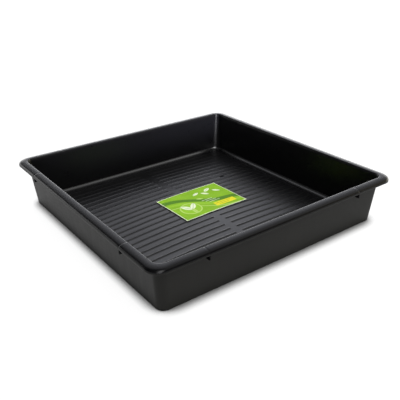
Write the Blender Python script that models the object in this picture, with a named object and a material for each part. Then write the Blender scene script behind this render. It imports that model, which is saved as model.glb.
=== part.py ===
"""Square plant tray: one plastic moulding with a printed label on its floor.

The tray stands on the ground with +Z up, its origin in the middle of its base, and the ribs of its floor
run along X. The moulding is one skin, lofted through rounded rectangles from the middle of the underside,
up the outer wall, round the rolled lip, down the inner wall and back to the middle of the floor. The ribs
and the webs under the lip are united with it.
"""
import math

import bmesh
import bpy

# Overall size across the lip's outer faces, in metres
LIP_LENGTH = 0.600
LIP_WIDTH = 0.600
TRAY_HEIGHT = 0.104

# Walls and floor
WALL_THICKNESS = 0.0023
WALL_LEAN = 0.0080
WALL_CORNER_RADIUS = 0.018
FLOOR_THICKNESS = 0.0028
FOOT_RADIUS = 0.0020
FLOOR_FILLET = 0.0080

# Rolled lip: it stands out from the wall, rounds over and ends in a short upright skirt
LIP_OVERHANG = 0.0180
LIP_DROP = 0.0100
LIP_SKIRT = 0.0020
LIP_INNER_ROUND = 0.0065
LIP_CORNER_RADIUS = 0.028

# Crown: the floor swells upward in the middle and is level along the walls
CROWN_HEIGHT = 0.0130
CROWN_BORDER = 0.0115
CROWN_FULLNESS = 1.25

# Ribs on the floor, in two columns with a plain strip between them
RIB_PITCH = 0.0190
RIB_HEIGHT = 0.0018
RIB_FOOT_WIDTH = 0.0036
RIB_CREST_WIDTH = 0.0020
RIB_END_SLOPE = 0.0015
RIB_ROOT = 0.0010
RIB_COLUMN_GAP = 0.0170
RIB_BORDER = 0.0100

# Webs that brace the lip, two on each side, and hold stacked trays apart
WEB_FROM_END = 0.1110
WEB_THICKNESS = 0.0026
WEB_DROP = 0.0070
WEB_SETBACK = 0.0012
WEB_FACE_LEAN = 0.0018

# Label: a thin sheet that lies on the ribs and follows the crown
LABEL_LENGTH = 0.170
LABEL_WIDTH = 0.119
LABEL_THICKNESS = 0.0004
LABEL_CENTRE_X = 0.017
LABEL_CENTRE_Y = 0.003
LABEL_TURN = math.radians(1.7)
SEAT_CLEARANCE = 0.0003

# Facets
CORNER_STEPS = 5
SIDE_STEPS = 8
FLOOR_RINGS = 9
ROUND_STEPS = 3
ROLL_STEPS = 5
RIB_STEPS = 5
LABEL_COLUMNS = 10
LABEL_ROWS = 7
SMOOTH_ANGLE = math.radians(35)

# Heights that follow from the sizes above
LIP_EDGE_HEIGHT = TRAY_HEIGHT - LIP_DROP
ROLL_HEIGHT = LIP_DROP - LIP_SKIRT


def clear_scene():
    for item in list(bpy.data.objects):
        bpy.data.objects.remove(item, do_unlink=True)


def plastic(name, colour, roughness):
    material = bpy.data.materials.new(name)
    material.use_nodes = True
    shader = material.node_tree.nodes["Principled BSDF"]
    shader.inputs["Base Color"].default_value = (*colour, 1.0)
    shader.inputs["Roughness"].default_value = roughness
    shader.inputs["Metallic"].default_value = 0.0
    return material


def link_mesh(name, builder):
    """Turn a bmesh into an object in the scene."""
    bmesh.ops.recalc_face_normals(builder, faces=builder.faces)
    mesh = bpy.data.meshes.new(name)
    builder.to_mesh(mesh)
    builder.free()
    item = bpy.data.objects.new(name, mesh)
    bpy.context.scene.collection.objects.link(item)
    return item


def finish(item, material):
    """Give an object its material, smooth over its rounds and sharp at its edges."""
    item.data.materials.append(material)
    item.data.shade_smooth()
    item.data.set_sharp_from_angle(angle=SMOOTH_ANGLE)


def skin(builder, rings):
    """Join rings of as many points each with quads."""
    loops = [[builder.verts.new(point) for point in ring] for ring in rings]
    for near, far in zip(loops, loops[1:]):
        for index in range(len(near)):
            after = (index + 1) % len(near)
            builder.faces.new((near[index], near[after], far[after], far[index]))
    return loops


def wall_inset(z):
    """How far the outer wall stands in from the lip's outer face at a height."""
    return LIP_OVERHANG + WALL_LEAN * (1 - z / LIP_EDGE_HEIGHT)


def floor_half(length):
    """Half of the level floor inside the fillets, along one axis."""
    return length / 2 - wall_inset(0) - WALL_THICKNESS - FLOOR_FILLET


def crown(x, y):
    """How far the floor stands above its level border at a point."""
    u = x / (floor_half(LIP_LENGTH) - CROWN_BORDER)
    v = y / (floor_half(LIP_WIDTH) - CROWN_BORDER)
    if abs(u) >= 1 or abs(v) >= 1:
        return 0.0
    return CROWN_HEIGHT * ((1 - u * u) * (1 - v * v)) ** CROWN_FULLNESS


def floor_top(x, y):
    return FLOOR_THICKNESS + crown(x, y)


def corner_radius(inset, z):
    """Corner radius of a level loop: largest at the lip, and concentric inside the outer wall."""
    spread = LIP_CORNER_RADIUS - WALL_CORNER_RADIUS
    outside = spread * max(0.0, 1 - inset / LIP_OVERHANG)
    inside = max(0.0, inset - wall_inset(z))
    return max(WALL_CORNER_RADIUS + outside - inside, FOOT_RADIUS)


def level_loop(inset, z):
    """A rounded rectangle at one height, the same number of points for every inset."""
    half_x = LIP_LENGTH / 2 - inset
    half_y = LIP_WIDTH / 2 - inset
    radius = corner_radius(inset, z)
    corners = []
    for quarter, (sign_x, sign_y) in enumerate(((1, 1), (-1, 1), (-1, -1), (1, -1))):
        corner = []
        for step in range(CORNER_STEPS + 1):
            angle = (quarter + step / CORNER_STEPS) * math.pi / 2
            x = sign_x * (half_x - radius) + radius * math.cos(angle)
            y = sign_y * (half_y - radius) + radius * math.sin(angle)
            corner.append((x, y, z))
        corners.append(corner)
    points = []
    for corner, following in zip(corners, corners[1:] + corners[:1]):
        points += corner
        start, end = corner[-1], following[0]
        for step in range(1, SIDE_STEPS):
            share = step / SIDE_STEPS
            points.append(tuple(a + (b - a) * share for a, b in zip(start, end)))
    return points


def arc(centre, radii, start, end, steps):
    """Points of an elliptical arc in the section plane, from one angle to another in degrees."""
    points = []
    for step in range(steps + 1):
        angle = math.radians(start + (end - start) * step / steps)
        points.append((centre[0] + radii[0] * math.cos(angle), centre[1] + radii[1] * math.sin(angle)))
    return points


def lip_curve(depth):
    """The rolled lip's section at a depth under its outer surface, from the wall out to the skirt."""
    turn_height = TRAY_HEIGHT - LIP_INNER_ROUND
    crest = wall_inset(turn_height) + WALL_THICKNESS - LIP_INNER_ROUND
    inner_round = LIP_INNER_ROUND - depth
    inner = arc((crest, turn_height), (inner_round, inner_round), 0, 90, ROUND_STEPS)
    outer = arc((crest, TRAY_HEIGHT - ROLL_HEIGHT), (crest - depth, ROLL_HEIGHT - depth), 90, 180, ROLL_STEPS)
    return inner + outer[1:]


def wall_section():
    """The moulding's section as (inset, height), from the foot round the lip to the edge of the floor."""
    foot_inset = wall_inset(0) + FOOT_RADIUS
    foot = arc((foot_inset, FOOT_RADIUS), (FOOT_RADIUS, FOOT_RADIUS), 270, 180, ROUND_STEPS)
    underside = lip_curve(WALL_THICKNESS)
    skirt_edge = [(WALL_THICKNESS, LIP_EDGE_HEIGHT), (0.0, LIP_EDGE_HEIGHT)]
    outside = lip_curve(0.0)[::-1]
    fillet_height = FLOOR_THICKNESS + FLOOR_FILLET
    fillet_inset = wall_inset(fillet_height) + WALL_THICKNESS + FLOOR_FILLET
    fillet = arc((fillet_inset, fillet_height), (FLOOR_FILLET, FLOOR_FILLET), 180, 270, ROUND_STEPS + 1)
    return foot + underside + skirt_edge + outside + fillet


def floor_rings(edge, height):
    """Rings from the border of the crown towards its middle, shrunk from the edge of the floor."""
    border_x = (floor_half(LIP_LENGTH) - CROWN_BORDER) / max(x for x, y, z in edge)
    border_y = (floor_half(LIP_WIDTH) - CROWN_BORDER) / max(y for x, y, z in edge)
    rings = []
    for step in range(FLOOR_RINGS):
        share = 1 - step / FLOOR_RINGS
        flat = [(x * border_x * share, y * border_y * share) for x, y, z in edge]
        rings.append([(x, y, height + crown(x, y)) for x, y in flat])
    return rings


def tray_skin():
    builder = bmesh.new()
    section = [level_loop(inset, z) for inset, z in wall_section()]
    underside = floor_rings(section[0], 0.0)[::-1]
    floor = floor_rings(section[-1], FLOOR_THICKNESS)
    loops = skin(builder, underside + section + floor)
    for loop, height in ((loops[0], 0.0), (loops[-1], FLOOR_THICKNESS)):
        middle = builder.verts.new((0.0, 0.0, height + crown(0.0, 0.0)))
        for index in range(len(loop)):
            builder.faces.new((loop[index], loop[(index + 1) % len(loop)], middle))
    bmesh.ops.triangulate(builder, faces=builder.faces)
    return builder


def rib_ring(x, y, height):
    """Section of a rib at one station: its root is sunk in the floor, its crest stands above it."""
    half_crest = RIB_CREST_WIDTH / 2
    flare = (RIB_FOOT_WIDTH - RIB_CREST_WIDTH) / 2 * (1 + RIB_ROOT / RIB_HEIGHT)
    half_root = half_crest + flare
    outline = ((-half_root, -RIB_ROOT), (-half_crest, height), (half_crest, height), (half_root, -RIB_ROOT))
    return [(x, y + across, floor_top(x, y + across) + up) for across, up in outline]


def add_rib(builder, start, end, y):
    """One rib from start to end along X, with sloping ends."""
    full_start = start + RIB_END_SLOPE
    full_end = end - RIB_END_SLOPE
    rings = [rib_ring(start, y, -RIB_ROOT / 2)]
    for step in range(RIB_STEPS + 1):
        x = full_start + (full_end - full_start) * step / RIB_STEPS
        rings.append(rib_ring(x, y, RIB_HEIGHT))
    rings.append(rib_ring(end, y, -RIB_ROOT / 2))
    loops = skin(builder, rings)
    builder.faces.new(loops[0])
    builder.faces.new(loops[-1][::-1])


def rib_blanks():
    builder = bmesh.new()
    rows = int((floor_half(LIP_WIDTH) - RIB_BORDER) / RIB_PITCH)
    near = RIB_COLUMN_GAP / 2
    far = floor_half(LIP_LENGTH) - RIB_BORDER
    for row in range(-rows, rows + 1):
        for start, end in ((near, far), (-far, -near)):
            add_rib(builder, start, end, row * RIB_PITCH)
    return builder


def web_outline():
    """A web's section: rooted halfway through the wall and the lip, with its face just inside the skirt."""
    half_wall = WALL_THICKNESS / 2
    foot_height = LIP_EDGE_HEIGHT - WEB_DROP
    root = (wall_inset(foot_height) + half_wall, foot_height)
    face = [(WEB_SETBACK, LIP_EDGE_HEIGHT), (WEB_SETBACK + WEB_FACE_LEAN, foot_height)]
    return [root] + lip_curve(half_wall) + face


def web_blanks():
    builder = bmesh.new()
    for length, width, turned in ((LIP_LENGTH, LIP_WIDTH, False), (LIP_WIDTH, LIP_LENGTH, True)):
        for side in (-1, 1):
            for place in (-1, 1):
                middle = place * (length / 2 - WEB_FROM_END)
                sheets = []
                for along in (middle - WEB_THICKNESS / 2, middle + WEB_THICKNESS / 2):
                    sheet = [(along, side * (width / 2 - inset), z) for inset, z in web_outline()]
                    sheets.append([(y, x, z) for x, y, z in sheet] if turned else sheet)
                loops = skin(builder, sheets)
                builder.faces.new(loops[0])
                builder.faces.new(loops[1][::-1])
    return builder


def unite(item, name, builder):
    """Unite a hidden, flat-shaded blank with an object."""
    blank = link_mesh(name, builder)
    blank.hide_render = True
    blank.display_type = "WIRE"
    union = item.modifiers.new(name, "BOOLEAN")
    union.operation = "UNION"
    union.solver = "EXACT"
    union.object = blank


def build_tray():
    tray = link_mesh("tray", tray_skin())
    finish(tray, plastic("black_plastic", (0.012, 0.012, 0.013), 0.34))
    unite(tray, "rib_blanks", rib_blanks())
    unite(tray, "web_blanks", web_blanks())


def label_point(across, along, up):
    """A point of the label from its own frame, laid on the ribs."""
    x = LABEL_CENTRE_X + across * math.cos(LABEL_TURN) - along * math.sin(LABEL_TURN)
    y = LABEL_CENTRE_Y + across * math.sin(LABEL_TURN) + along * math.cos(LABEL_TURN)
    return x, y, floor_top(x, y) + RIB_HEIGHT + SEAT_CLEARANCE + up


def build_label():
    builder = bmesh.new()
    bmesh.ops.create_grid(builder, x_segments=LABEL_COLUMNS, y_segments=LABEL_ROWS, size=0.5)
    for vertex in builder.verts:
        across = vertex.co.x * LABEL_LENGTH
        along = vertex.co.y * LABEL_WIDTH
        vertex.co = label_point(across, along, 0.0)
    sheet = bmesh.ops.extrude_face_region(builder, geom=builder.faces[:])
    for element in sheet["geom"]:
        if isinstance(element, bmesh.types.BMVert):
            element.co.z += LABEL_THICKNESS
    bmesh.ops.triangulate(builder, faces=builder.faces)
    label = link_mesh("label", builder)
    finish(label, plastic("printed_label", (0.20, 0.50, 0.03), 0.38))


clear_scene()
build_tray()
build_label()
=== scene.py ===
"""Looks of the square plant tray: a fine mesh of the moulding, a printed label and a plain studio."""

import math

import bmesh
import bpy
import numpy as np
from mathutils import Matrix, Vector


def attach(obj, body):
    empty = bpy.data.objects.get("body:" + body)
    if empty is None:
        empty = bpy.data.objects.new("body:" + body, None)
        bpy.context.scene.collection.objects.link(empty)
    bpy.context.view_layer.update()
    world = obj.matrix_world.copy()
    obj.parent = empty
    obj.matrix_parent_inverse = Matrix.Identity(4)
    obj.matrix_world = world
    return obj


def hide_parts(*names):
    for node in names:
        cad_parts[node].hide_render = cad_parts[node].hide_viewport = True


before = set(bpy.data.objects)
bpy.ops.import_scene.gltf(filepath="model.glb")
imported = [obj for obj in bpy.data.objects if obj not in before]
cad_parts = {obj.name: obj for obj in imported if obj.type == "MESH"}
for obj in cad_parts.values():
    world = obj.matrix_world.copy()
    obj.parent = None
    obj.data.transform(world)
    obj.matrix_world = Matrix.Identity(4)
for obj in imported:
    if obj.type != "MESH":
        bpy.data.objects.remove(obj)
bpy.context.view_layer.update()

# Sizes of the moulding, in metres
HALF = 0.300
HEIGHT = 0.104
WALL = 0.0023
LEAN = 0.0080
WALL_CORNER = 0.018
FLOOR = 0.0028
FOOT = 0.0020

# Bend from the inner wall to the floor: its height, its reach along the floor and its steps
FILLET = 0.0080
FILLET_REACH = 0.0140
FILLET_STEPS = 12

# Rolled lip. INNER_TALL is the reach and height of the half ellipse along its inner edge
OVERHANG = 0.0180
DROP = 0.0100
LIP_EDGE = HEIGHT - DROP
LIP_CORNER = 0.028
INNER_ROUND = 0.0035
INNER_TALL = (0.00378, 0.0090)
OUTER_ROUND = 0.0065
TOP_DOME = 0.030
TOP_AT = 0.0135
SKIRT_BEVEL = 0.0006
SKIRT_BEVEL_MIDDLE = 0.00018
RIM_LEVELS = 17

# Inner corners: rounder than the wall's by this much at the floor, and by less further up
CORNER_FULLER = 0.0065
CORNER_TIGHTENS = 0.0110

# Crown of the floor
CROWN = 0.0130
CROWN_BORDER = 0.0115
CROWN_FULLNESS = 1.25

# Ribs of the floor, which fade toward the back
RIB_PITCH = 0.0190
RIB_HEIGHT = 0.0013
RIB_FOOT = 0.0018
RIB_CREST = 0.0010
RIB_ROWS = 13
RIB_NEAR = 0.0085
RIB_BORDER = 0.0100
RIB_END_SLOPE = 0.0016
RIB_FADE = 0.70
RIB_FADE_FROM = 0.030
RIB_FADE_OVER = 0.150

# Webs under the lip. WEB_FACE is the inset of a web's face at the skirt and at its foot
WEB_AT = 0.189
WEB_HALF = 0.0011
WEB_DROP = 0.0088
WEB_FACE = (0.0004, 0.0009)

# Sink marks over the webs: depth and half width, then the height where they start and the height over which
# they deepen, on the lip's top from the ground and on its side from the lip's edge
SINK_DEPTH = 0.0004
SINK_HALF = 0.0014
SINK_TOP = (0.0990, 0.0035)
SINK_SIDE = (0.002, 0.003)

# The gate's stub and a pin mark, as (x, y, half length, half width, height), and how deep they are rooted
FLOOR_MARKS = (
    (0.1475, 0.0932, 0.0058, 0.0034, 0.0014),
    (0.1517, -0.0799, 0.0026, 0.0026, 0.0008),
)
MARK_ROOT = 0.0008
MARK_TURNS = 20

# Printed label
LABEL_SIZE = (0.170, 0.119)
LABEL_AT = (0.017, 0.003)
LABEL_TURN = math.radians(1.7)
LABEL_THICK = 0.0004
LABEL_RISE = 0.0017
LABEL_CORNER_LIFT = 0.0007
LABEL_CELLS = (44, 31)

# Levels of the mesh on the walls, in metres, and their number
WALL_LOW, WALL_LOW_INSIDE, WALL_HIGH = 0.010, 0.020, 0.088
WALL_LEVELS = 5

# Mesh lines of the floor's grid, which run on over the walls and the lip
GRID_HALF = 0.2540
GRID_MARGIN = 0.0005
STRIP_LINE = 0.0045
GRID_FROM, GRID_TO, GRID_STEP = 0.024, 0.247, 0.0135
WEB_CLEAR = 0.008
WEB_LINES = [WEB_AT + d * 0.001 for d in (-7, -5, -4, -3, -2.2, -1.3, -0.6, 0, 0.6, 1.3, 2.2, 3, 4, 5, 7)]
RIB_LINES = (0, 0.0005, 0.0009, 0.0013, 0.0018, 0.0055)
ARC = 12

# Material slots of the tray's mesh
INSIDE, OUTSIDE, RIM, RIBBED_FLOOR, BEND = range(5)


def wall_inset(z):
    """How far the outer face of the wall stands inside the lip's outer face at that height."""
    return OVERHANG + LEAN * (1 - z / LIP_EDGE)


LEVEL_HALF = HALF - wall_inset(0) - WALL - FILLET
RIB_FAR = LEVEL_HALF - RIB_BORDER


def smooth(t):
    t = np.clip(t, 0, 1)
    return t * t * (3 - 2 * t)


def crown(x, y):
    """Rise of the floor's middle over its border."""
    u = np.abs(x) / (LEVEL_HALF - CROWN_BORDER)
    v = np.abs(y) / (LEVEL_HALF - CROWN_BORDER)
    inside = np.clip(1 - u * u, 0, 1) * np.clip(1 - v * v, 0, 1)
    return CROWN * inside ** CROWN_FULLNESS


def ribs(x, y):
    """Height of the ribs over the floor."""
    row = np.round(y / RIB_PITCH)
    off = np.abs(y - row * RIB_PITCH)
    across = smooth((RIB_FOOT - off) / (RIB_FOOT - RIB_CREST * 0.5))
    ends = smooth((np.abs(x) - RIB_NEAR) / RIB_END_SLOPE) * smooth((RIB_FAR - np.abs(x)) / RIB_END_SLOPE)
    fade = 1 - RIB_FADE * smooth((y - RIB_FADE_FROM) / RIB_FADE_OVER)
    return RIB_HEIGHT * fade * across * ends * (np.abs(row) <= RIB_ROWS)


def both(values):
    """The values and their mirror images, in order."""
    values = sorted(set(round(v, 6) for v in values))
    return sorted(set([-v for v in values] + values))


def grid_lines():
    """The floor grid's lines along X and along Y: close together at the ribs, their ends and the webs."""
    along = [0.0, STRIP_LINE]
    for start, end in ((RIB_NEAR, RIB_NEAR + RIB_END_SLOPE), (RIB_FAR - RIB_END_SLOPE, RIB_FAR)):
        along += list(np.linspace(start, end, 5))
    along += [v for v in np.arange(GRID_FROM, GRID_TO, GRID_STEP) if abs(v - WEB_AT) > WEB_CLEAR]
    along += WEB_LINES + [GRID_HALF]
    across = []
    for row in range(RIB_ROWS + 1):
        middle = row * RIB_PITCH
        for off in RIB_LINES:
            across += [middle + off, abs(middle - off)]
    across = [v for v in across if v < GRID_HALF - GRID_MARGIN]
    across += WEB_LINES + [GRID_HALF]
    return both(along), both(across)


LINES_X, LINES_Y = grid_lines()


def corner_radius(inset, z, inner):
    """Round of a loop's corners; on the inner faces it is fuller at the floor and tighter at the top."""
    outside = (LIP_CORNER - WALL_CORNER) * max(0.0, 1 - inset / OVERHANG)
    inside = max(0.0, inset - wall_inset(z))
    fuller = (CORNER_FULLER - CORNER_TIGHTENS * z / HEIGHT) * min(1.0, inside / WALL) if inner else 0.0
    return max(WALL_CORNER + outside - inside + fuller, FOOT)


def sink_depths(inset, z):
    """How deep a loop's sink marks are on the lip's top and on its side."""
    on_top = SINK_DEPTH * float(smooth((z - SINK_TOP[0]) / SINK_TOP[1]))
    beside = SINK_DEPTH * max(0.0, 1 - inset / OUTER_ROUND)
    return on_top, beside * float(smooth((z - LIP_EDGE - SINK_SIDE[0]) / SINK_SIDE[1]))


def ring(inset, z, inner):
    """One level loop: the grid's lines along each side and an arc round each corner."""
    half = HALF - inset
    radius = corner_radius(inset, z, inner)
    straight = half - radius
    points = []
    on_top, on_side = sink_depths(inset, z) if inner else (0.0, 0.0)

    def sunk(along):
        return math.exp(-((abs(along) - WEB_AT) / SINK_HALF) ** 2)

    for quarter, (sx, sy) in enumerate(((1, 1), (-1, 1), (-1, -1), (1, -1))):
        for step in range(ARC + 1):
            angle = (quarter + step / ARC) * math.pi / 2
            points.append((sx * straight + radius * math.cos(angle), sy * straight + radius * math.sin(angle), z))
        if quarter == 0:
            points += [(x, half - on_side * sunk(x), z - on_top * sunk(x)) for x in LINES_X[::-1]]
        elif quarter == 1:
            points += [(on_side * sunk(y) - half, y, z - on_top * sunk(y)) for y in LINES_Y[::-1]]
        elif quarter == 2:
            points += [(x, on_side * sunk(x) - half, z - on_top * sunk(x)) for x in LINES_X]
        else:
            points += [(half - on_side * sunk(y), y, z - on_top * sunk(y)) for y in LINES_Y]
    return points


def arc(centre, radii, start, end, steps):
    """Points of an elliptic arc between two angles in degrees."""
    angles = np.radians(np.linspace(start, end, steps + 1))
    return [(centre[0] + radii[0] * math.cos(a), centre[1] + radii[1] * math.sin(a)) for a in angles]


def lip_curve(depth, inner_steps=9, top_steps=8, outer_steps=9):
    """From the inner wall over the domed top to the outer face, that far under the surface.

    On the surface itself the inner edge is a tall half ellipse, which eases into the wall.
    """
    axis = HEIGHT - TOP_DOME
    inner = wall_inset(HEIGHT - INNER_ROUND) + WALL - INNER_ROUND
    lean_in = math.asin((inner - TOP_AT) / (TOP_DOME - INNER_ROUND))
    lean_out = math.asin((TOP_AT - OUTER_ROUND) / (TOP_DOME - OUTER_ROUND))
    inner_z = axis + (TOP_DOME - INNER_ROUND) * math.cos(lean_in)
    outer_z = axis + (TOP_DOME - OUTER_ROUND) * math.cos(lean_out)
    before, after = 90 - math.degrees(lean_in), 90 + math.degrees(lean_out)
    reach, tall = INNER_TALL if depth == 0 else (INNER_ROUND - depth, INNER_ROUND - depth)
    turn = math.atan(math.tan(math.radians(before)) * tall / reach)
    joint = (inner + (INNER_ROUND - depth) * math.sin(lean_in), inner_z + (INNER_ROUND - depth) * math.cos(lean_in))
    centre = (joint[0] - reach * math.cos(turn), joint[1] - tall * math.sin(turn))
    first = arc(centre, (reach, tall), 0, math.degrees(turn), inner_steps)
    top = arc((TOP_AT, axis), (TOP_DOME - depth, TOP_DOME - depth), before, after, top_steps)
    last = arc((OUTER_ROUND, outer_z), (OUTER_ROUND - depth, OUTER_ROUND - depth), after, 180, outer_steps)
    return first + top[1:] + last[1:]


def section():
    """The moulding's section as (inset, height), from the foot round the lip to the edge of the floor."""
    foot = arc((wall_inset(0) + FOOT, FOOT), (FOOT, FOOT), 270, 180, 5)
    wall_out = [(wall_inset(z), z) for z in np.linspace(WALL_LOW, WALL_HIGH, WALL_LEVELS)]
    under = lip_curve(WALL, 4, 4, 6)
    edge = [
        (WALL, LIP_EDGE + SKIRT_BEVEL),
        (WALL - SKIRT_BEVEL, LIP_EDGE),
        (SKIRT_BEVEL, LIP_EDGE),
        (SKIRT_BEVEL_MIDDLE, LIP_EDGE + SKIRT_BEVEL_MIDDLE),
        (0.0, LIP_EDGE + SKIRT_BEVEL),
    ]
    outside = lip_curve(0.0)[::-1]
    fillet_top = FLOOR + FILLET
    wall_in = [(wall_inset(z) + WALL, z) for z in np.linspace(WALL_HIGH, WALL_LOW_INSIDE, WALL_LEVELS)]
    centre = (wall_inset(fillet_top) + WALL + FILLET_REACH, fillet_top)
    fillet = arc(centre, (FILLET_REACH, FILLET), 180, 270, FILLET_STEPS)
    return foot + wall_out + under + edge + outside + wall_in + fillet


def show(name, mesh):
    """Put a mesh in the scene as an object of that name."""
    item = bpy.data.objects.new(name, mesh)
    bpy.context.scene.collection.objects.link(item)
    return item


def soften(mesh, degrees):
    """Shade a mesh smooth, apart from edges sharper than that."""
    mesh.shade_smooth()
    mesh.set_sharp_from_angle(angle=math.radians(degrees))


def floor_sheet(points, loop_start, count, top):
    """Add the grid of the floor's upper or lower face, and return its faces and those that join it to a loop."""
    nx, ny = len(LINES_X), len(LINES_Y)
    grid_start = len(points)
    for y in LINES_Y:
        for x in LINES_X:
            z = float(crown(x, y)) + (FLOOR + float(ribs(np.float64(x), np.float64(y))) if top else 0.0)
            points.append((x, y, z))
    faces = []
    for j in range(ny - 1):
        for i in range(nx - 1):
            a = grid_start + j * nx + i
            faces.append((a, a + 1, a + nx + 1, a + nx))
    corners = [grid_start + ny * nx - 1, grid_start + (ny - 1) * nx, grid_start, grid_start + nx - 1]
    edges = [
        [grid_start + (ny - 1) * nx + i for i in range(nx)][::-1],
        [grid_start + j * nx for j in range(ny)][::-1],
        [grid_start + i for i in range(nx)],
        [grid_start + j * nx + nx - 1 for j in range(ny)],
    ]
    cursor = loop_start
    for quarter, edge in enumerate(edges):
        bend = [cursor + k for k in range(ARC + 1)]
        line = [cursor + ARC + 1 + k for k in range(len(edge))]
        for a, b in zip(bend, bend[1:]):
            faces.append((a, b, corners[quarter]))
        faces.append((bend[-1], line[0], corners[quarter]))
        for k in range(len(line) - 1):
            faces.append((line[k], line[k + 1], edge[k + 1], edge[k]))
        cursor += ARC + 1 + len(line)
        following = loop_start + (cursor - loop_start) % count
        faces.append((line[-1], following, corners[(quarter + 1) % 4]))
    return faces


def tray_mesh():
    """The moulding as one closed skin: level loops up the outside, round the lip and down, and two floor faces."""
    points, faces = [], []
    curve = section()
    seam = curve.index((0.0, LIP_EDGE + SKIRT_BEVEL)) + 1
    rings = [ring(inset, z, index >= seam) for index, (inset, z) in enumerate(curve)]
    count = len(rings[0])
    for loop in rings:
        points += loop
    for level in range(len(rings) - 1):
        for index in range(count):
            after = (index + 1) % count
            a, b = level * count, (level + 1) * count
            faces.append((a + index, a + after, b + after, b + index))
    ends = ((seam, OUTSIDE), (seam + RIM_LEVELS, RIM), (len(rings) - FILLET_STEPS, INSIDE), (len(rings) - 1, BEND))
    finish = []
    for end, slot in ends:
        finish += [slot] * (end * count - len(finish))
    for loop_start, slot in ((0, OUTSIDE), ((len(rings) - 1) * count, RIBBED_FLOOR)):
        new = floor_sheet(points, loop_start, count, slot == RIBBED_FLOOR)
        faces += new
        finish += [slot] * len(new)
    mesh = bpy.data.meshes.new("tray_shell")
    mesh.from_pydata(points, [], faces)
    mesh.materials.append(inside_material("black_plastic_inside", gloss=0.28, rough=0.30))
    mesh.materials.append(outside_material())
    mesh.materials.append(inside_material("black_plastic_rim", gloss=0.13, rough=0.25))
    # The floor's copy of the plastic is painted a little paler: painted light for the light the floor catches
    mesh.materials.append(inside_material("black_plastic_floor", gloss=0.285, rough=0.37, painted_lift=0.0012))
    mesh.materials.append(inside_material("black_plastic_bend", gloss=0.80, rough=0.26))
    mesh.polygons.foreach_set("material_index", finish)
    builder = bmesh.new()
    builder.from_mesh(mesh)
    bmesh.ops.recalc_face_normals(builder, faces=builder.faces)
    builder.to_mesh(mesh)
    builder.free()
    soften(mesh, 50)
    return show("tray_shell", mesh)


def web_mesh():
    """Eight webs under the lip, two a side, rooted in the wall and the lip."""
    half_wall = WALL / 2
    foot_height = LIP_EDGE - WEB_DROP
    outline = [(wall_inset(foot_height) + half_wall, foot_height)] + lip_curve(half_wall, 3, 2, 4)
    outline += [(WEB_FACE[0], LIP_EDGE), (WEB_FACE[1], foot_height)]
    builder = bmesh.new()
    for turn in range(4):
        spin = Matrix.Rotation(turn * math.pi / 2, 4, "Z")
        for place in (-WEB_AT, WEB_AT):
            loops = []
            for along in (place - WEB_HALF, place + WEB_HALF):
                loops.append([builder.verts.new(spin @ Vector((along, -(HALF - inset), z))) for inset, z in outline])
            for k in range(len(outline)):
                after = (k + 1) % len(outline)
                builder.faces.new((loops[0][k], loops[0][after], loops[1][after], loops[1][k]))
            builder.faces.new(loops[0])
            builder.faces.new(loops[1][::-1])
    bmesh.ops.recalc_face_normals(builder, faces=builder.faces)
    mesh = bpy.data.meshes.new("lip_webs")
    builder.to_mesh(mesh)
    builder.free()
    return show("lip_webs", mesh)


def floor_marks_mesh():
    """The gate's stub and a small pin mark on the floor, as low domes sunk a little into it."""
    builder = bmesh.new()
    for which, (x, y, long, short, tall) in enumerate(FLOOR_MARKS):
        ground = FLOOR + float(crown(x, y))
        loops = []
        for share, rise in ((1.0, -MARK_ROOT), (1.0, 0.25 * tall), (0.86, 0.70 * tall), (0.55, 0.95 * tall)):
            loop = []
            for step in range(MARK_TURNS):
                a = step / MARK_TURNS * 2 * math.pi
                spot = (x + share * long * math.cos(a), y + share * short * math.sin(a), ground + rise)
                loop.append(builder.verts.new(spot))
            loops.append(loop)
        tip = builder.verts.new((x, y, ground + tall))
        new = [builder.faces.new(loops[0][::-1])]
        for lower, upper in zip(loops, loops[1:]):
            for k in range(MARK_TURNS):
                after = (k + 1) % MARK_TURNS
                new.append(builder.faces.new((lower[k], lower[after], upper[after], upper[k])))
        for k in range(MARK_TURNS):
            new.append(builder.faces.new((loops[-1][k], loops[-1][(k + 1) % MARK_TURNS], tip)))
        for face in new:
            face.material_index = which
    mesh = bpy.data.meshes.new("floor_marks")
    builder.to_mesh(mesh)
    builder.free()
    soften(mesh, 60)
    return show("floor_marks", mesh)


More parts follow.
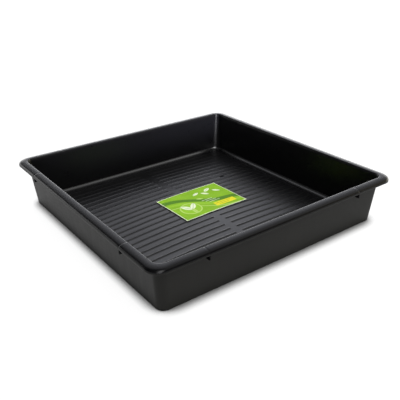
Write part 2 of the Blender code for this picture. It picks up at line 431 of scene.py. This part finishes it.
def label_mesh():
    """A thin card on the ribs that follows the crown, with its corners barely lifted."""
    columns, rows = LABEL_CELLS
    stride = columns + 1
    builder = bmesh.new()
    layer = builder.loops.layers.uv.new("print")
    places = {}
    sheets = []
    for up in (0.0, LABEL_THICK):
        sheet = []
        for j in range(rows + 1):
            for i in range(columns + 1):
                u, v = i / columns, j / rows
                a, b = (u - 0.5) * LABEL_SIZE[0], (v - 0.5) * LABEL_SIZE[1]
                x = LABEL_AT[0] + a * math.cos(LABEL_TURN) - b * math.sin(LABEL_TURN)
                y = LABEL_AT[1] + a * math.sin(LABEL_TURN) + b * math.cos(LABEL_TURN)
                lift = LABEL_CORNER_LIFT * (2 * abs(u - 0.5)) ** 6 * (2 * abs(v - 0.5)) ** 6
                vertex = builder.verts.new((x, y, FLOOR + float(crown(x, y)) + LABEL_RISE + lift + up))
                places[vertex] = (u, v)
                sheet.append(vertex)
        sheets.append(sheet)
    for sheet, flip in zip(sheets, (True, False)):
        for j in range(rows):
            for i in range(columns):
                a = j * stride + i
                quad = [sheet[a], sheet[a + 1], sheet[a + 1 + stride], sheet[a + stride]]
                builder.faces.new(quad[::-1] if flip else quad)
    edge = list(range(columns)) + [columns + j * stride for j in range(rows)]
    edge += [rows * stride + i for i in range(columns, 0, -1)] + [j * stride for j in range(rows, 0, -1)]
    for a, b in zip(edge, edge[1:] + edge[:1]):
        builder.faces.new((sheets[0][a], sheets[0][b], sheets[1][b], sheets[1][a]))
    bmesh.ops.recalc_face_normals(builder, faces=builder.faces)
    for face in builder.faces:
        for loop in face.loops:
            loop[layer].uv = places[loop.vert]
    mesh = bpy.data.meshes.new("label_card")
    builder.to_mesh(mesh)
    builder.free()
    soften(mesh, 50)
    return show("label_card", mesh)


class Graph:
    """A material's or the world's node tree, with short calls that add and link its nodes."""

    def __init__(self, name, tree=None):
        if tree is None:
            self.material = bpy.data.materials.new(name)
            self.material.use_nodes = True
            tree = self.material.node_tree
            self.shader = tree.nodes["Principled BSDF"]
        self.tree = tree

    def put(self, socket, value):
        if isinstance(value, bpy.types.NodeSocket):
            self.tree.links.new(value, socket)
        else:
            socket.default_value = value

    def node(self, kind, inputs=None, **settings):
        item = self.tree.nodes.new("ShaderNode" + kind)
        for key, value in settings.items():
            setattr(item, key, value)
        for key, value in (inputs or {}).items():
            self.put(item.inputs[key], value)
        return item

    def math(self, operation, *values, clamp=False):
        item = self.node("Math", dict(enumerate(values)), operation=operation)
        item.use_clamp = clamp
        return item.outputs[0]

    def mix(self, factor, first, second):
        item = self.node("Mix", data_type="RGBA")
        for key, value in ((0, factor), (6, first), (7, second)):
            self.put(item.inputs[key], value)
        return item.outputs[2]

    def split(self, vector):
        return self.node("SeparateXYZ", {0: vector}).outputs

    def stretch(self, where, scale):
        return self.node("Mapping", {"Vector": where, "Scale": scale}).outputs[0]

    def ramp(self, value, start, end, low=0.0, high=1.0, kind="LINEAR"):
        return self.node(
            "MapRange", {0: value, 1: start, 2: end, 3: low, 4: high}, interpolation_type=kind
        ).outputs[0]

    def noise(self, where, scale, detail=2.0):
        return self.node("TexNoise", {"Vector": where, "Scale": scale, "Detail": detail}).outputs[0]

    def vary(self, base, amount, noise):
        """A value that a noise moves up and down by half the amount."""
        return self.math("MULTIPLY_ADD", self.math("SUBTRACT", noise, 0.5), amount, base)

    def bump(self, height, distance, strength=1.0, under=None):
        item = self.node("Bump", {"Height": height, "Distance": distance, "Strength": strength})
        if under is not None:
            self.put(item.inputs["Normal"], under)
        return item.outputs[0]


def inside_material(name, gloss, rough, painted_lift=0.0):
    """Black moulded plastic of the inside or the rolled top: satin, with faint flow waves and a fine grain."""
    g = Graph(name)
    where = g.node("TexCoord").outputs["Object"]
    cloud = g.noise(where, 9.0, 3.0)
    speck = g.noise(where, 420.0)
    wave = g.noise(where, 16.0, 1.0)
    rubbed = g.noise(g.stretch(where, (30.0, 420.0, 60.0)), 1.0, 3.0)
    shades = ((0.0013, 0.0013, 0.0015), (0.0022, 0.0022, 0.0025))
    # An even lift of these shades is painted light, used on the floor's copy
    dark = g.mix(cloud, *[tuple(part + painted_lift for part in shade) + (1,) for shade in shades])
    # Painted light: the back wall's inner face is painted paler, more so upward and to the right, for the light that
    # falls on it
    x, y, z = g.split(where)
    back = g.ramp(y, 0.268, 0.274)
    upper = g.ramp(z, 0.012, 0.095, kind="SMOOTHSTEP")
    to_right = g.math("MULTIPLY_ADD", x, 1.2, 0.36, clamp=True)
    painted_back_wall_light = g.math("MULTIPLY", g.math("MULTIPLY", back, upper), to_right)
    g.put(g.shader.inputs["Base Color"], g.mix(painted_back_wall_light, dark, (0.0165, 0.0165, 0.0215, 1)))
    g.put(g.shader.inputs["Specular IOR Level"], gloss)
    g.put(g.shader.inputs["Roughness"], g.vary(g.vary(rough, 0.10, rubbed), 0.08, speck))
    g.put(g.shader.inputs["Normal"], g.bump(speck, 0.00003, under=g.bump(wave, 0.0006)))
    return g.material


def outside_material():
    """The same plastic on the walls' outer faces, where the mould leaves it matte and a little warmer."""
    g = Graph("black_plastic_outside")
    where = g.node("TexCoord").outputs["Object"]
    cloud = g.noise(where, 7.0, 3.0)
    speck = g.noise(where, 520.0)
    wave = g.noise(where, 11.0, 1.0)
    streaks = g.noise(g.stretch(where, (140.0, 140.0, 9.0)), 1.0, 3.0)
    dark = g.mix(cloud, (0.0072, 0.0071, 0.0064, 1), (0.0098, 0.0097, 0.0087, 1))
    g.put(g.shader.inputs["Base Color"], dark)
    g.put(g.shader.inputs["Specular IOR Level"], 0.08)
    g.put(g.shader.inputs["Roughness"], g.vary(g.vary(0.41, 0.12, streaks), 0.10, speck))
    g.put(g.shader.inputs["Normal"], g.bump(speck, 0.00004, under=g.bump(wave, 0.0005)))
    return g.material


# Print of the label, in millimetres from its lower left corner
LIME, LEAFY, DEEP = (0.19, 0.39, 0.005, 1), (0.28, 0.53, 0.026, 1), (0.085, 0.22, 0.013, 1)
PALE, WHITE, YELLOW = (0.46, 0.66, 0.15, 1), (0.78, 0.86, 0.60, 1), (0.76, 0.70, 0.018, 1)
BAND_TILT, BAND_SWELL, BAND_WAVE = -0.42, 7, 0.045
# Bands as (offset, width, colour)
BANDS = ((96, 17, DEEP), (78, 11, LEAFY), (62, 4, PALE))
# Discs as (centre, radius, colour)
DISCS = (((40, 40), 26, PALE), ((40, 40), 23, LEAFY))
# Leaves as (centre, length, width, turn in degrees, colour, vein's colour)
LEAVES = (
    ((33, 47), 34, 14, 118, WHITE, DEEP),
    ((50, 46), 32, 13, 52, WHITE, DEEP),
    ((41, 26), 26, 9, 90, PALE, DEEP),
    ((92, 92), 22, 9, 20, WHITE, LIME),
    ((112, 82), 22, 9, -48, WHITE, LIME),
    ((128, 96), 26, 10, 28, WHITE, LIME),
    ((146, 82), 22, 9, -42, WHITE, LIME),
    ((84, 66), 18, 7, -30, PALE, LIME),
)
# Bars as (centre, length, width, colour): a yellow tab, two bars on it and three beside the leaves
BARS = (
    ((124, 22), 58, 17, YELLOW),
    ((120, 25), 42, 1.6, DEEP),
    ((120, 19), 30, 1.6, DEEP),
    ((96, 54), 30, 1.8, WHITE),
    ((102, 47), 30, 1.8, WHITE),
    ((108, 40), 30, 1.8, WHITE),
)
BORDER = 1.9


def label_material():
    """Generic garden print: lime ground, leaf shapes, a pale disc, a yellow tab and a thin pale border."""
    g = Graph("label_print")
    uv = g.node("UVMap", uv_map="print").outputs[0]
    size = (LABEL_SIZE[0] * 1000, LABEL_SIZE[1] * 1000, 1.0)
    where = g.stretch(uv, size)
    across, along, _ = g.split(where)

    def local(centre, half, turn=0.0):
        """Position in a turned frame round a centre, in which the given half sizes are 1."""
        frame_at = {"Location": (*centre, 0), "Rotation": (0, 0, math.radians(turn)), "Scale": (*half, 1)}
        x, y, _ = g.split(g.node("Mapping", {"Vector": where, **frame_at}, vector_type="TEXTURE").outputs[0])
        return x, g.math("ABSOLUTE", y)

    def leaf(centre, length, width, turn):
        x, y = local(centre, (length / 2, width / 2), turn)
        edge = g.math("SUBTRACT", g.math("SUBTRACT", 1.0, g.math("MULTIPLY", x, x)), y)
        shape = g.math("MULTIPLY", edge, width * 1.2, clamp=True)
        vein = g.math("MULTIPLY", g.math("SUBTRACT", 0.09, y), width * 1.5, clamp=True)
        return shape, g.math("MULTIPLY", shape, vein)

    def disc(centre, radius):
        x, y = local(centre, (radius, radius))
        edge = g.math("SUBTRACT", 1.0, g.math("ADD", g.math("MULTIPLY", x, x), g.math("MULTIPLY", y, y)))
        return g.math("MULTIPLY", edge, radius, clamp=True)

    def bar(centre, length, width):
        x, y = local(centre, (length / 2, width / 2))
        ends = g.math("MULTIPLY", g.math("SUBTRACT", 1.0, g.math("ABSOLUTE", x)), length, clamp=True)
        return g.math("MULTIPLY", ends, g.math("MULTIPLY", g.math("SUBTRACT", 1.0, y), width, clamp=True))

    def band(offset, width):
        line = g.math("MULTIPLY_ADD", across, BAND_TILT, offset)
        line = g.math("MULTIPLY_ADD", g.math("SINE", g.math("MULTIPLY", across, BAND_WAVE)), BAND_SWELL, line)
        off = g.math("ABSOLUTE", g.math("SUBTRACT", along, line))
        return g.math("MULTIPLY", g.math("SUBTRACT", width / 2, off), 0.7, clamp=True)

    colour = g.mix(g.noise(where, 0.03), LIME, LEAFY)
    for offset, width, tone in BANDS:
        colour = g.mix(band(offset, width), colour, tone)
    for centre, radius, tone in DISCS:
        colour = g.mix(disc(centre, radius), colour, tone)
    for centre, length, width, turn, tone, line in LEAVES:
        shape, vein = leaf(centre, length, width, turn)
        colour = g.mix(shape, colour, tone)
        colour = g.mix(vein, colour, line)
    for centre, length, width, tone in BARS:
        colour = g.mix(bar(centre, length, width), colour, tone)
    from_ends = g.math("MINIMUM", across, g.math("SUBTRACT", size[0], across))
    from_sides = g.math("MINIMUM", along, g.math("SUBTRACT", size[1], along))
    inset = g.math("MINIMUM", from_ends, from_sides)
    colour = g.mix(g.math("MULTIPLY", g.math("SUBTRACT", BORDER, inset), 1.5, clamp=True), colour, WHITE)
    ink = g.noise(where, 1.6)
    colour = g.mix(g.math("MULTIPLY", g.math("SUBTRACT", ink, 0.45), 0.5, clamp=True), colour, DEEP)
    g.put(g.shader.inputs["Base Color"], colour)
    g.put(g.shader.inputs["Specular IOR Level"], 0.05)
    g.put(g.shader.inputs["Roughness"], g.math("MULTIPLY_ADD", g.noise(where, 0.12, 3.0), 0.16, 0.44))
    g.put(g.shader.inputs["Normal"], g.bump(g.noise(where, 0.035), 0.0012, 0.6))
    return g.material


tray = tray_mesh()
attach(tray, "root")
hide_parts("tray")
webs = web_mesh()
webs.data.materials.append(inside_material("black_plastic_web", gloss=0.03, rough=0.45))
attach(webs, "root")
marks = floor_marks_mesh()
marks.data.materials.append(webs.data.materials[0])
marks.data.materials.append(tray.data.materials[OUTSIDE])
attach(marks, "root")
label = label_mesh()
label.data.materials.append(label_material())
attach(label, "root")
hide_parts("label")

# Studio: the camera's direction, roll, distance and target, and its focal length in widths of the picture
AZIMUTH = math.radians(-36.05)
ELEVATION = math.radians(26.23)
ROLL = math.radians(-0.99)
DISTANCE = 1.3193
TARGET = Vector((0.03444, 0.03323, 0.0))
FOCAL = 556.3 / 400
SENSOR = 36.0

# Soft boxes as (azimuth from +X, elevation, narrowness, colour): two behind the tray, a key high beside the
# camera, one high at the right, one below the horizon at the right and one low by the camera
SOFT_BOXES = (
    (50, 33, 14.4, (2.05, 2.10, 2.32)),
    (64, 56, 10.0, (1.00, 1.00, 1.05)),
    (254.4, 46.5, 40.0, (14.6, 14.6, 14.6)),
    (340, 50, 12.0, (1.60, 1.60, 1.58)),
    (345.3, -6.6, 14.0, (3.81, 3.32, 1.79)),
    (242, 6, 60.0, (23.0, 23.0, 24.0)),
)
DARK_ROOM = 0.06

# The pale sweep low behind the tray: its azimuth and brightness, the heights between which it ends, and the
# cosines from its azimuth between which it comes in
BACKDROP = (50, 3.3)
BACKDROP_TOP = (0.16, 0.36)
BACKDROP_SIDE = (0.05, 0.40)

# Floor: its half width and how far it lies under the tray; the paper as it lights the tray, and as it is seen,
# with a glow that ends in the tray's shade and comes back sooner along the left side
STUDIO_HALF = 6
STUDIO_DROP = 0.0002
LIT_PAPER = (0.85, 0.85, 0.85)
SEEN_PAPER = (0.14, 0.14, 0.14)
PAPER_GLOW = 0.88
SHADE_REACH = 0.036
SHADE_LEAN = (-0.43, 0.0, 0.903)
SHADE_RANGE = (0.42, 0.90)
LEFT_SIDE = (-0.24, -0.29)
LEFT_PALER = 0.055


def studio_camera():
    """The camera that the photograph was fitted with."""
    data = bpy.data.cameras.new("camera")
    data.sensor_fit = "HORIZONTAL"
    data.sensor_width = SENSOR
    data.lens = FOCAL * SENSOR
    data.clip_start = 0.01
    level = math.cos(ELEVATION)
    back = Vector((math.sin(AZIMUTH) * level, -math.cos(AZIMUTH) * level, math.sin(ELEVATION)))
    right = (-back).cross(Vector((0, 0, 1))).normalized()
    up = right.cross(-back)
    rolled_right = right * math.cos(ROLL) + up * math.sin(ROLL)
    rolled_up = -right * math.sin(ROLL) + up * math.cos(ROLL)
    camera = show("camera", data)
    camera.matrix_world = Matrix((
        (rolled_right.x, rolled_up.x, back.x, TARGET.x + back.x * DISTANCE),
        (rolled_right.y, rolled_up.y, back.y, TARGET.y + back.y * DISTANCE),
        (rolled_right.z, rolled_up.z, back.z, TARGET.z + back.z * DISTANCE),
        (0, 0, 0, 1),
    ))
    return camera


def floor_material():
    """White paper that keeps the tray's shadow and looks white away from it."""
    g = Graph("studio_floor")
    g.put(g.shader.inputs["Base Color"], (*SEEN_PAPER, 1))
    g.put(g.shader.inputs["Roughness"], 1.0)
    shade = {"Distance": SHADE_REACH, "Normal": SHADE_LEAN}
    near = g.node("AmbientOcclusion", shade, samples=16).outputs["AO"]
    left = g.ramp(g.split(g.node("TexCoord").outputs["Object"])[0], *LEFT_SIDE, high=LEFT_PALER)
    open_sky = g.ramp(g.math("ADD", near, left), *SHADE_RANGE, kind="SMOOTHSTEP")
    glow = g.node("Emission", {"Color": (1, 1, 1, 1), "Strength": g.math("MULTIPLY", open_sky, PAPER_GLOW)})
    paper = g.node("BsdfDiffuse", {"Color": (*LIT_PAPER, 1)})
    seen = g.node("AddShader", {0: glow.outputs[0], 1: g.shader.outputs[0]})
    path = g.node("LightPath").outputs
    sight = g.math("ADD", path["Is Camera Ray"], path["Is Glossy Ray"])
    sight = g.math("ADD", sight, path["Is Transmission Ray"], clamp=True)
    choice = g.node("MixShader", {0: sight, 1: paper.outputs[0], 2: seen.outputs[0]})
    g.put(g.tree.nodes["Material Output"].inputs["Surface"], choice.outputs[0])
    return g.material


def studio_world():
    """A dim room with soft boxes and a pale sweep low behind the tray; the camera itself sees white."""
    world = bpy.data.worlds.new("studio")
    world.use_nodes = True
    g = Graph("studio", world.node_tree)
    towards = g.node("TexCoord").outputs["Generated"]
    total = (DARK_ROOM, DARK_ROOM, DARK_ROOM)
    for azimuth, elevation, narrowness, colour in SOFT_BOXES:
        azimuth, level = math.radians(azimuth), math.cos(math.radians(elevation))
        centre = (level * math.cos(azimuth), level * math.sin(azimuth), math.sin(math.radians(elevation)))
        along = g.node("VectorMath", {0: towards, 1: centre}, operation="DOT_PRODUCT").outputs["Value"]
        lobe = g.math("EXPONENT", g.math("MULTIPLY_ADD", along, narrowness, -narrowness))
        total = g.node("VectorMath", {0: lobe, 1: colour, 2: total}, operation="MULTIPLY_ADD").outputs[0]
    low = g.ramp(g.split(towards)[2], *BACKDROP_TOP, low=1.0, high=0.0, kind="SMOOTHSTEP")
    behind = (math.cos(math.radians(BACKDROP[0])), math.sin(math.radians(BACKDROP[0])), 0.0)
    facing = g.node("VectorMath", {0: towards, 1: behind}, operation="DOT_PRODUCT").outputs["Value"]
    wide = g.ramp(facing, *BACKDROP_SIDE, kind="SMOOTHSTEP")
    sweep = g.math("MULTIPLY", g.math("MULTIPLY", low, wide), BACKDROP[1])
    total = g.node("VectorMath", {0: total, 1: sweep}, operation="ADD").outputs[0]
    background = world.node_tree.nodes["Background"]
    seen = g.node("LightPath").outputs["Is Camera Ray"]
    g.put(background.inputs["Color"], g.mix(seen, total, (1, 1, 1, 1)))
    background.inputs["Strength"].default_value = 1.0
    return world


floor_mesh = bpy.data.meshes.new("studio_floor")
floor_corners = [(STUDIO_HALF * x, STUDIO_HALF * y, -STUDIO_DROP) for x, y in ((-1, -1), (1, -1), (1, 1), (-1, 1))]
floor_mesh.from_pydata(floor_corners, [], [(0, 1, 2, 3)])
floor_mesh.materials.append(floor_material())
floor = show("studio_floor", floor_mesh)

bpy.context.scene.camera = studio_camera()
bpy.context.scene.world = studio_world()
bpy.context.scene.view_settings.view_transform = "Standard"
